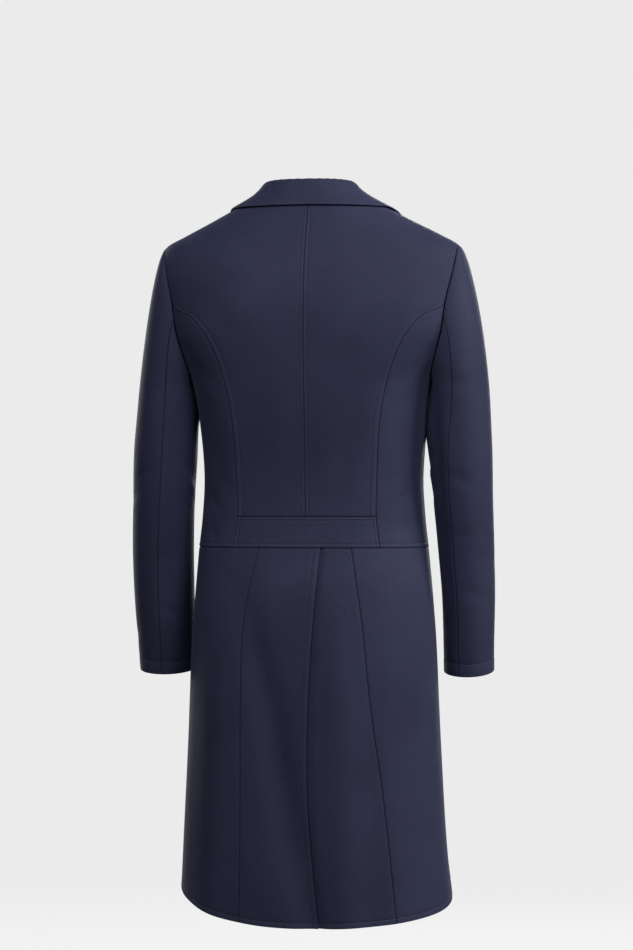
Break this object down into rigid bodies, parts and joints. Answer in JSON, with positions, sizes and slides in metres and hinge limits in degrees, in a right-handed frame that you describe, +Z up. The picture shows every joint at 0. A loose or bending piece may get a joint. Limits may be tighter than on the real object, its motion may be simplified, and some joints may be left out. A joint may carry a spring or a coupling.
{
  "type": "tailcoat",
  "caption": "Riding tailcoat in navy softshell, holding its worn form, with turned-down collar, inset back belt, two long vented tails and two-piece sleeves.",
  "frame": {"origin": "level of the side neck, midway between the shoulders, where the coat is worn", "axes": "+Z up the wearer's body, +Y towards the wearer's back, +X towards the wearer's left"},
  "size_m": [0.5669, 0.256, 1.14],
  "materials": {
    "softshell": "matt navy softshell with a fine dull sheen",
    "button": "satin navy resin"
  },
  "bodies": {
    "root": {"back_left": "softshell", "back_right": "softshell", "side_back_left": "softshell", "side_back_right": "softshell", "back_belt": "softshell", "front_left": "softshell", "front_right": "softshell", "lapel_left": "softshell", "lapel_right": "softshell", "collar": "softshell", "tail_left_back": "softshell", "tail_left_side": "softshell", "tail_right_back": "softshell", "tail_right_side": "softshell", "sleeve_top_left": "softshell", "sleeve_under_left": "softshell", "sleeve_top_right": "softshell", "sleeve_under_right": "softshell", "button_1": "button", "button_2": "button", "button_3": "button"}
  },
  "joints": []
}
